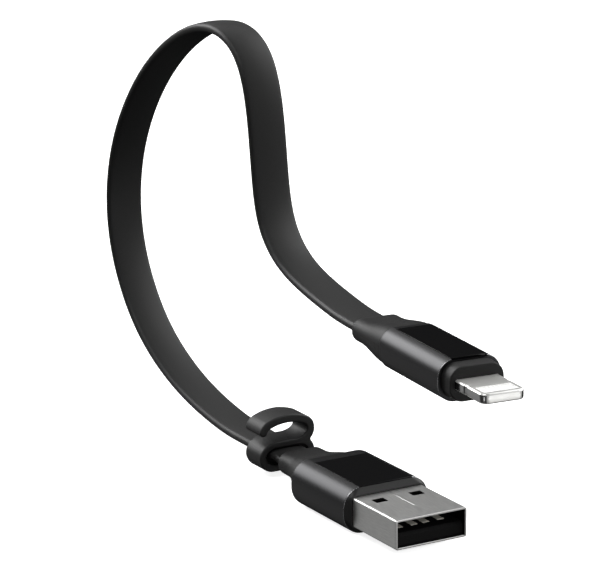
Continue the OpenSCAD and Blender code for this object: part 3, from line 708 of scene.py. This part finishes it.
def make_plate(name, sleeve, x0, x1, half, top, front, place):
    """Cuts a pocket, open to the front, into a sleeve's top and makes the plate that lies in it."""
    floor = top - PLATE_DEPTH
    low = [x0 - PLATE_PLAY, -half - PLATE_PLAY, floor]
    cut(sleeve, block("pocket", low, [front + 1, half + PLATE_PLAY, 2 * top], place))
    return block(name, [x0, -half, floor], [x1, half, top + PLATE_PROUD], place, 0.03, 2)


def make_relief(name, back, neck, flare, full, steps, spigot, place):
    """A strain relief with the cable's slot in it: round end and neck, then a flare that ends at the sleeve.

    neck and flare are measured from the relief's back end, full is where the flare ends, and each gives
    place, width, height and corner. spigot is the part in the sleeve: width, height and corner."""
    rows = [(back + x, w, h, r) for x, w, h, r in RELIEF_END + [neck]]
    for k in range(steps + 1):
        t = smooth(k / steps)
        shape = [mix(a, b, t) for a, b in zip(flare[1:], full[1:])]
        rows.append((mix(back + flare[0], full[0], k / steps), *shape))
    rows += [(x, *spigot) for x in (full[0], full[0] + SPIGOT_DEPTH)]
    rows += [(x, *RELIEF_SLOT, RELIEF_SLOT[1] / 2 - 0.01) for x in (rows[-1][0], rows[0][0])]
    return solid(name, [section(*row, 10) for row in rows], place, closed=True, crease=50)


def make_housing(plug, place, sleeve, plate, cap_look, cap, relief):
    """Makes and dresses a plug's four outer pieces. sleeve, plate and relief are what the functions above take,
    and cap lists its rings' places, widths, heights and corners."""
    (_, x1), _, height = sleeve[:3]
    body = make_sleeve(plug + "_sleeve_body", *sleeve, place)
    lid = make_plate(plug + "_plate", body, *plate, height / 2, x1, place)
    collar = solid(plug + "_cap", [section(*row, 12) for row in cap], place, closed=True)
    boot = make_relief(plug + "_relief", *relief, place)
    dress(keep_flats(body), "anodised", "cable", "dark_aluminium", plug + "_sleeve")
    dress(keep_flats(lid), "plate", "cable", "gloss_black", plug + "_top_plate")
    dress(keep_flats(collar), cap_look, "cable", "dark_plastic", plug + "_end_cap")
    dress(keep_flats(boot), "relief", "cable", "black_rubber", plug + "_strain_relief")
    origin = Vector(place([0, 0, 0]))
    along = Vector(place([1, 0, 0])) - origin
    front = origin @ along + x1

    def in_rim(face):
        return front - RIM < face.center @ along / MM < front and 0.1 < face.normal @ along < 0.98

    # Painted highlight: the front rim's faces get the light rim colour
    repaint(body, "rim_painted_highlight", in_rim)


# ---- the type A plug ----

METAL_CORNER, BORE_CORNER = 0.34, 0.18
LIP = 0.09  # how far the shell's mouth is rolled in
WINDOW_BACK, WINDOW_ASIDE = 9.05, 3.15  # middle of a window, from the mouth and from the axis
WINDOW_HALF = (0.8, 1.0)
SEAM = [[-0.045, 0.01], [0, -0.05], [0.045, 0.01]]
SEAM_FRONT = 4.6  # how far behind the mouth the seam ends


class CABLE_OT_type_a_shell(bpy.types.Operator):
    """Folds the metal shell, with its latch windows and the seam on its top"""

    bl_idname = "charging_cable.type_a_shell"
    bl_label = "Type A shell"

    def execute(self, context):
        sizes = context.scene.type_a_sizes
        w, h, t = sizes.shell_width / MM, sizes.shell_height / MM, sizes.shell_wall / MM
        low, high = reach("type_a_shell", 0)
        x0, x1 = low / MM, high / MM
        rings = [section(x, w, h, METAL_CORNER) for x in (x0, x1 - 1, x1 - LIP)]
        for a in (0.5, 1.0, 1.5):
            drop, x = LIP * (1 - math.cos(a)), x1 - LIP * (1 - math.sin(a))
            rings.append(section(x, w - 2 * drop, h - 2 * drop, METAL_CORNER - drop))
        rings.append(section(x1, w - 2 * t + LIP, h - 2 * t + LIP, 0.22))
        rings += [section(x, w - 2 * t, h - 2 * t, BORE_CORNER) for x in (x1 - LIP / 2, x1 - 1, x0)]
        obj = solid("type_a_metal_shell", rings, at_type_a, closed=True)
        along, across = WINDOW_HALF
        for side in (-1, 1):
            x, y = x1 - WINDOW_BACK, side * WINDOW_ASIDE
            low, high = [x - along, y - across, -h], [x + along, y + across, h]
            cut(obj, block("window", low, high, at_type_a, 0.12, 2))
        seam = [[[x, y, h / 2 + z] for y, z in SEAM] for x in (x0 - 1, x1 - SEAM_FRONT)]
        cut(obj, solid("seam", seam, at_type_a))
        dress(keep_flats(obj), "steel", "cable", "shell_metal", "type_a_shell")

        # Painted shade: faces in the bore and on the windows' cut walls get the darkened copy of the steel
        def in_painted_shade(face):
            x, y, z = face.center / MM - Vector((x1 - WINDOW_BACK, 0, AXIS_Z))
            at_window = abs(x) < along + 0.01 and abs(abs(y) - WINDOW_ASIDE) < across + 0.05
            in_bore = abs(y) < w / 2 - t + 0.02 and abs(z) < h / 2 - t + 0.02
            return in_bore or at_window and h / 2 - t < abs(z) < h / 2 - 0.01

        repaint(obj, "steel_inside", in_painted_shade)
        return {"FINISHED"}


class CABLE_OT_type_a_insert(bpy.types.Operator):
    """Dresses the insert, its four contact blades and the inner mould"""

    bl_idname = "charging_cable.type_a_insert"
    bl_label = "Type A insert and contacts"

    def execute(self, context):
        paint("type_a_tongue", "black_insert")
        for line in ("power", "data_minus", "data_plus", "ground"):
            paint("type_a_contact_" + line, "blade")
        paint("type_a_inner_mould", "mould")
        return {"FINISHED"}


class CABLE_OT_type_a_housing(bpy.types.Operator):
    """Makes the type A plug's sleeve, end cap, top plate and strain relief"""

    bl_idname = "charging_cable.type_a_housing"
    bl_label = "Type A housing"

    def execute(self, context):
        sizes = context.scene.type_a_sizes
        w, h = sizes.sleeve_width / MM, sizes.sleeve_height / MM
        x0, x1 = [v / MM for v in reach("type_a_sleeve", 0)]
        wall = 0.7
        spigot = bore(w, h, wall)
        low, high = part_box("type_a_top_plate")
        front = reach("type_a_end_cap", 0)[1] / MM
        mw, mh = sizes.shell_width / MM, sizes.shell_height / MM
        opening = (mw + METAL_PLAY, mh + METAL_PLAY, 0.5)
        # The cap is chamfered from the sleeve down to the shell, with a small round at its nose
        cap = [(x1 - 2, *spigot, 2.4), (x1, *spigot, 2.4), (x1, w - 0.34, h - 0.34, 3.0),
               (x1 + 0.03, w - 0.3, h - 0.3, 3.0), (front - 0.1, mw + 0.68, mh + 0.8, 1.0),
               (front - 0.03, mw + 0.54, mh + 0.66, 0.95), (front, mw + 0.38, mh + 0.5, 0.9),
               (front, *opening), (x1 - 2, *opening)]
        back = reach("type_a_strain_relief", 0)[0] / MM
        neck, flare, full = (1.4, 8.05, 3.55, 1.68), (2.4, 8.1, 3.6, 1.7), (x0, 12.2, 5.8, 2.75)
        relief = (back, neck, flare, full, 12, (*spigot, 2.45))
        sleeve = ((x0, x1), w, h, wall, 3.2, (0.65, 5))
        plate = (low.x / MM, high.x / MM, high.y / MM)
        make_housing("type_a", at_type_a, sleeve, plate, "cap", cap, relief)
        return {"FINISHED"}


# ---- the phone plug ----

# One flank of the tab in plan, from back to nose: place, depth below the flank, corner
TAB_BACK = -10.6
TAB_FLANK = [(TAB_BACK, 0, 0), (-6.3, 0, 0), (-5.4, 0, 0.2), (-5.15, 0.14, 0.2), (-4.65, 0.14, 0.2),
             (-4.4, 0, 0.2), (0, 0, 1.15)]
TAB_EDGE = 0.35  # radius of the tab's long edges
PAD = (2.3, 0.44, 0.15)  # length, width and depth of one contact pad
TAB_WINDOW_FRONT, TAB_WINDOW_HALF, TAB_WINDOW_MARGIN = -0.75, 1.35, 0.4
INSERT_PLAY = 0.02
PHONE_CAP_FRONT, PHONE_CAP_ROUND = -7.7, 0.2


def repeat_tree(name, coating):
    """Geometry Nodes tree: a row of blocks, with inputs for count, pitch and size."""
    tree = bpy.data.node_groups.new(name, "GeometryNodeTree")
    tree.interface.new_socket("Geometry", in_out="INPUT", socket_type="NodeSocketGeometry")
    sockets = (("Count", "Int", 8), ("Pitch", "Vector", (0, 0.001, 0)),
               ("Size", "Vector", (0.001, 0.001, 0.001)), ("Start", "Vector", (0, 0, 0)), ("Turn", "Float", 0.0))
    for label, kind, value in sockets:
        socket = tree.interface.new_socket(label, in_out="INPUT", socket_type="NodeSocket" + kind)
        socket.default_value = value
    tree.interface.new_socket("Geometry", in_out="OUTPUT", socket_type="NodeSocketGeometry")
    given = add(tree, "NodeGroupInput").outputs
    places = {"Count": given["Count"], "Start Location": given["Start"], "Offset": given["Pitch"]}
    line = add(tree, "GeometryNodeMeshLine", links=places)
    cube = add(tree, "GeometryNodeMeshCube", links={"Size": given["Size"]})
    turn = add(tree, "ShaderNodeCombineXYZ", links={"Z": given["Turn"]})
    blocks = {"Points": line.outputs["Mesh"], "Instance": cube.outputs["Mesh"], "Rotation": turn.outputs[0]}
    row = add(tree, "GeometryNodeInstanceOnPoints", links=blocks)
    real = add(tree, "GeometryNodeRealizeInstances", links={"Geometry": row.outputs["Instances"]})
    coat = add(tree, "GeometryNodeSetMaterial", values={"Material": coating},
               links={"Geometry": real.outputs["Geometry"]})
    add(tree, "NodeGroupOutput", links={"Geometry": coat.outputs["Geometry"]})
    return tree


def row_of_blocks(name, coating, given, bevel):
    """Runs the tree on an empty mesh and hands back one plain mesh with rounded edges."""
    obj = link(bpy.data.meshes.new(name), name)
    mod = obj.modifiers.new("row", "NODES")
    mod.node_group = repeat_tree(name + "_row", coating)
    items = mod.node_group.interface.items_tree
    ids = {item.name: item.identifier for item in items if item.in_out == "INPUT"}
    for label, value in given.items():
        mod[ids[label]] = value
    edge = obj.modifiers.new("edges", "BEVEL")
    edge.width, edge.segments, edge.limit_method = bevel, 2, "ANGLE"
    return flatten(obj, 50)


def tab_rings(w, t):
    """Rings round the tab's plan, from its underside to its top, drawn in towards both faces."""
    far = [[x, -w / 2 + depth, radius] for x, depth, radius in TAB_FLANK]
    near = [[x, w / 2 - depth, radius] for x, depth, radius in TAB_FLANK[::-1]]
    plan = rounded_polygon(far + near)
    chords = np.roll(plan, -1, 0) - np.roll(plan, 1, 0)
    normals = np.column_stack([chords[:, 1], -chords[:, 0]]) / np.linalg.norm(chords, axis=1, keepdims=True)
    rings = []
    for a in np.linspace(-90, 90, 13):
        inset = TAB_EDGE * (1 - math.cos(math.radians(a)))
        z = math.copysign(t / 2 - TAB_EDGE, a) + TAB_EDGE * math.sin(math.radians(a)) if a else 0
        pts = plan - normals * inset
        pts[plan[:, 0] <= TAB_BACK + 0.01, 0] = TAB_BACK
        rings.append(np.column_stack([pts, np.full(len(pts), z)]))
    return rings


class CABLE_OT_phone_tab(bpy.types.Operator):
    """Makes the bright tab, its white insert and its two rows of contact pads"""

    bl_idname = "charging_cable.phone_tab"
    bl_label = "Phone plug tab"

    def execute(self, context):
        sizes = context.scene.phone_sizes
        w, t = sizes.tab_width / MM, sizes.tab_thickness / MM
        tab = solid("phone_tab", tab_rings(w, t), at_phone)
        half = ((sizes.pad_count - 1) * sizes.pad_pitch / MM + PAD[1] + TAB_WINDOW_MARGIN) / 2
        mid = TAB_WINDOW_FRONT - TAB_WINDOW_HALF
        low, high = [mid - TAB_WINDOW_HALF, -half, -2], [mid + TAB_WINDOW_HALF, half, 2]
        cut(tab, block("tab_window", low, high, at_phone, 0.3, 3))
        dress(keep_flats(tab), "nickel", "cable", "bright_metal", "phone_tab_frame")
        across = Vector((-math.sin(PHONE_TURN), math.cos(PHONE_TURN), 0))
        # Painted shade: the tab's sideways faces get the darker flank copy of the nickel
        repaint(tab, "flank", lambda face: abs(face.normal @ across) > 0.35 and abs(face.normal.z) < 0.3)
        high = [TAB_WINDOW_HALF - INSERT_PLAY, half - INSERT_PLAY, t / 2 - INSERT_PLAY]
        low = [mid - high[0], -high[1], -high[2]]
        insert = block("phone_tab_insert", low, [mid + high[0], high[1], high[2]], at_phone, 0.05, 2)
        dress(keep_flats(insert), "white_insert", "cable", "white_insert", "phone_tab_insulator")
        pitch = sizes.pad_pitch
        for face, node in ((1, "phone_contacts_top"), (-1, "phone_contacts_bottom")):
            start = at_phone([mid, -(sizes.pad_count - 1) / 2 * pitch / MM, face * (t / 2 - PAD[2] / 2)]) * MM
            given = {"Count": sizes.pad_count, "Pitch": tuple(across * pitch), "Start": tuple(start),
                     "Size": tuple(v * MM for v in PAD), "Turn": PHONE_TURN}
            pads = row_of_blocks(node + "_pads", MATERIALS["pads"], given, 0.03 * MM)
            dress(pads, "pads", "cable", "pad_metal", node)
        return {"FINISHED"}


class CABLE_OT_phone_housing(bpy.types.Operator):
    """Makes the phone plug's sleeve, end cap, top plate and strain relief"""

    bl_idname = "charging_cable.phone_housing"
    bl_label = "Phone plug housing"

    def execute(self, context):
        sizes = context.scene.phone_sizes
        w, h = sizes.sleeve_width / MM, sizes.sleeve_height / MM
        x0, x1 = PHONE_BACK, PHONE_FRONT
        wall = 0.6
        spigot = (*bore(w, h, wall), 2.0)
        nose = PHONE_CAP_FRONT - PHONE_CAP_ROUND
        nw, nh, nr = w - 1.42, h - 1.12, 2.05
        opening = (sizes.tab_width / MM + METAL_PLAY, sizes.tab_thickness / MM + METAL_PLAY, 0.4)
        cap = [(x1 - SPIGOT_DEPTH, *spigot), (x1, *spigot), (x1, w - 1.24, h - 0.94, 2.1),
               (PHONE_CAP_FRONT - 0.3, w - 1.4, h - 1.1, nr), (nose, nw, nh, nr)]
        for a in (0.3, 0.6, 0.9, 1.2, 1.5):
            drop = PHONE_CAP_ROUND * (1 - math.cos(a))
            cap.append((nose + PHONE_CAP_ROUND * math.sin(a), nw - 2 * drop, nh - 2 * drop, nr - drop))
        cap += [(PHONE_CAP_FRONT, *opening), (x1 - SPIGOT_DEPTH, *opening)]
        neck, flare, full = (1.0, 8.0, 3.5, 1.68), (1.6, 8.0, 3.5, 1.68), (x0, w - 0.3, h - 0.3, 2.5)
        relief = (x0 - 10.5, neck, flare, full, 14, spigot)
        sleeve = ((x0, x1), w, h, wall, 2.65, (0.3, 4))
        make_housing("phone", at_phone, sleeve, (x0 + 1.2, x1 - 0.3, 2.7), "phone_cap", cap, relief)
        return {"FINISHED"}


class CABLE_OT_phone_inside(bpy.types.Operator):
    """Dresses the circuit board, its chip and parts, the shield can and the inner mould"""

    bl_idname = "charging_cable.phone_inside"
    bl_label = "Phone plug electronics"

    def execute(self, context):
        looks = {"board": "board", "control_chip": "chip", "board_parts": "ceramic", "shield_can": "tin",
                 "inner_mould": "mould"}
        for node, look in looks.items():
            paint("phone_" + node, look)
        return {"FINISHED"}


# ---- the stage ----

# The camera: azimuth, elevation and roll in degrees, then a point on the type A plug and how far that lies to
# the camera's right, above it and ahead of it, in millimetres
CAMERA_ANGLES = (59.94, 14.91, -0.5)
SEEN_POINT = Vector((20.3, 0, 3.6))
SEEN_RIGHT, SEEN_ABOVE, SEEN_AHEAD = 18.868, -35.387, 458.73
SENSOR, LENS = 36, 192

# Soft cards round the table: direction, angle that is full, angle where it ends, brightness. The last one is a
# black flag behind the object: its brightness is below zero, so it takes the room's light away
CARDS = [
    ((-0.84, -0.27, 0.46), 11, 23, 8.0),
    ((-0.84, 0.1, 0.44), 6, 18, 1.2),
    ((-0.5, 0.5, 0.72), 12, 24, 0.8),
    ((0.1, -0.5, 0.86), 12, 20, 5.5),
    ((-0.75, -0.6, -0.26), 12, 25, 0.27),
    ((-0.84, -0.36, -0.4), 12, 34, 0.14),
    ((0.1, 0.85, 0.55), 20, 38, 3.4),
    ((0.85, 0.2, 0.0), 25, 60, 0.42),
    ((-0.84, 0.48, -0.26), 20, 38, -0.06),
]
# Small cards close to the plugs: place from what they face, and size, in metres
TAB_CARD = (Vector((0.0547, 0.02, -0.0155)), (0.05, 0.016))
CORNER_CARD = (Vector((0.032, -0.057, -0.018)), (0.012, 0.03))
MOUTH_CARD = (Vector((0.022, 0.0, 0.0095)), (0.012, 0.006))
CORNER_SHARE = 0.55  # the corner card's power, as a share of the tab card's


def softbox(name, card, faced, power):
    """A rectangular area light that faces the given point."""
    place, (width, height) = card
    data = bpy.data.lights.new(name, "AREA")
    data.shape, data.size, data.size_y, data.energy = "RECTANGLE", width, height, power
    obj = link(data, name)
    obj.location = faced + place
    obj.visible_camera = False
    obj.rotation_euler = (faced - obj.location).to_track_quat("-Z", "Y").to_euler()


def set_camera(scene):
    """Turns the camera by its angles and puts it where it sees the point that it is set up on."""
    az, el, roll = [math.radians(angle) for angle in CAMERA_ANGLES]
    ahead = Vector((-math.sin(az) * math.cos(el), math.cos(az) * math.cos(el), -math.sin(el)))
    right = Vector((math.cos(az), math.sin(az), 0))
    up = right.cross(ahead)
    across = right * math.cos(roll) + up * math.sin(roll)
    above = -right * math.sin(roll) + up * math.cos(roll)
    place = SEEN_POINT - (across * SEEN_RIGHT + above * SEEN_ABOVE + ahead * SEEN_AHEAD)
    camera = link(bpy.data.cameras.new("camera"), "camera")
    turn = Matrix((across, above, -ahead)).transposed().to_4x4()
    camera.matrix_world = Matrix.Translation(place * MM) @ turn
    camera.data.sensor_fit, camera.data.sensor_width, camera.data.lens = "HORIZONTAL", SENSOR, LENS
    camera.data.clip_start, camera.data.clip_end = 0.01, 50
    scene.camera = camera


def make_floor(settings):
    """The light table's top, which only the camera sees."""
    half = settings.floor_size / 2
    mesh = bpy.data.meshes.new("floor")
    corners = [(-half, -half, 0), (half, -half, 0), (half, half, 0), (-half, half, 0)]
    mesh.from_pydata(corners, [], [(0, 1, 2, 3)])
    floor = link(mesh, "floor")
    # Matt white card: an even pale ground, lit from below as on a light table, so shadows stay faint
    lit = {"IOR": 1.3, "Emission Color": linear("#ffffff"), "Emission Strength": settings.floor_glow}
    mat, tree, shader, place = material("Matt white card", "#e8e8e8", roughness=0.9, extra=lit)
    grain(tree, shader, place, 2000, 20, 0.05)
    floor.data.materials.append(mat)
    floor.visible_glossy = False
    floor.visible_diffuse = False
    floor.visible_shadow = False


def make_room(scene, settings):
    """Studio at a distance: a dark room with soft cards, and plain white behind the floor's edge."""
    world = scene.world or bpy.data.worlds.new("studio")
    scene.world = world
    world.use_nodes = True
    tree = world.node_tree
    tree.nodes.clear()
    where = add(tree, "ShaderNodeTexCoord").outputs["Generated"]
    total = None
    for direction, full, end, brightness in CARDS:
        toward = Vector(direction).normalized()
        near = add(tree, "ShaderNodeVectorMath", {"operation": "DOT_PRODUCT"}, {1: toward}, {0: where})
        limits = {"From Min": math.cos(math.radians(end)), "From Max": math.cos(math.radians(full)),
                  "To Min": 0, "To Max": brightness * settings.card_light}
        glow = add(tree, "ShaderNodeMapRange", {"interpolation_type": "SMOOTHSTEP"}, limits,
                   {"Value": near.outputs["Value"]}).outputs[0]
        if total is None:
            total = glow
        else:
            total = add(tree, "ShaderNodeMath", {"operation": "ADD"}, links={0: total, 1: glow}).outputs[0]
    total = add(tree, "ShaderNodeMath", {"operation": "ADD"}, {1: settings.room_light}, {0: total}).outputs[0]
    total = add(tree, "ShaderNodeMath", {"operation": "MAXIMUM"}, {1: 0.0}, {0: total}).outputs[0]
    soft = add(tree, "ShaderNodeBackground", values={"Color": (1, 1, 1, 1)}, links={"Strength": total})
    plain_white = add(tree, "ShaderNodeBackground", values={"Color": (1, 1, 1, 1)})
    seen = add(tree, "ShaderNodeLightPath")
    parts = {0: seen.outputs["Is Camera Ray"], 1: soft.outputs[0], 2: plain_white.outputs[0]}
    both = add(tree, "ShaderNodeMixShader", links=parts)
    add(tree, "ShaderNodeOutputWorld", links={"Surface": both.outputs[0]})


class CABLE_OT_stage(bpy.types.Operator):
    """Sets the camera, the pale floor and the soft studio lights"""

    bl_idname = "charging_cable.stage"
    bl_label = "Studio stage"

    def execute(self, context):
        scene = context.scene
        settings = scene.stage_settings
        set_camera(scene)
        scene.view_settings.view_transform = "Standard"
        make_floor(settings)
        make_room(scene, settings)
        nose = Vector(PHONE_TIP * MM)
        softbox("tab_card", TAB_CARD, nose, settings.tab_power)
        softbox("corner_card", CORNER_CARD, nose, settings.tab_power * CORNER_SHARE)
        mouth = Vector((reach("type_a_shell", 0)[1], 0, AXIS_Z * MM))
        softbox("mouth_card", MOUTH_CARD, mouth, settings.mouth_power)
        return {"FINISHED"}


class CABLE_PT_panel(bpy.types.Panel):
    """Lists the pieces of the charging cable"""

    bl_label = "Charging Cable"
    bl_idname = "CABLE_PT_panel"
    bl_space_type = "VIEW_3D"
    bl_region_type = "UI"
    bl_category = "Charging Cable"

    def draw(self, context):
        for group in GROUPS:
            box = self.layout.box()
            for key in GROUPS[group].__annotations__:
                box.prop(getattr(context.scene, group), key)
        for operator in OPERATORS:
            self.layout.operator(operator.bl_idname)


GROUPS = {
    "cable_sizes": CableSizes,
    "type_a_sizes": TypeASizes,
    "phone_sizes": PhoneSizes,
    "keeper_sizes": KeeperSizes,
    "finishes": Finishes,
    "stage_settings": StageSettings,
}
OPERATORS = [
    CABLE_OT_stage,
    CABLE_OT_jacket,
    CABLE_OT_keeper,
    CABLE_OT_type_a_shell,
    CABLE_OT_type_a_insert,
    CABLE_OT_type_a_housing,
    CABLE_OT_phone_tab,
    CABLE_OT_phone_housing,
    CABLE_OT_phone_inside,
]


def register():
    """Adds the settings to the scene, and the operators and the panel to Blender."""
    for group, kind in GROUPS.items():
        bpy.utils.register_class(kind)
        setattr(bpy.types.Scene, group, PointerProperty(type=kind))
    for kind in OPERATORS + [CABLE_PT_panel]:
        bpy.utils.register_class(kind)


def unregister():
    """Takes away all that register added."""
    for kind in [CABLE_PT_panel] + OPERATORS[::-1]:
        bpy.utils.unregister_class(kind)
    for group, kind in GROUPS.items():
        delattr(bpy.types.Scene, group)
        bpy.utils.unregister_class(kind)


def main():
    """Builds the object piece by piece."""
    register()
    make_materials(bpy.context.scene.finishes)
    for operator in OPERATORS:
        group, name = operator.bl_idname.split(".")
        getattr(getattr(bpy.ops, group), name)()
    bpy.context.view_layer.update()


if __name__ == "__main__":
    main()
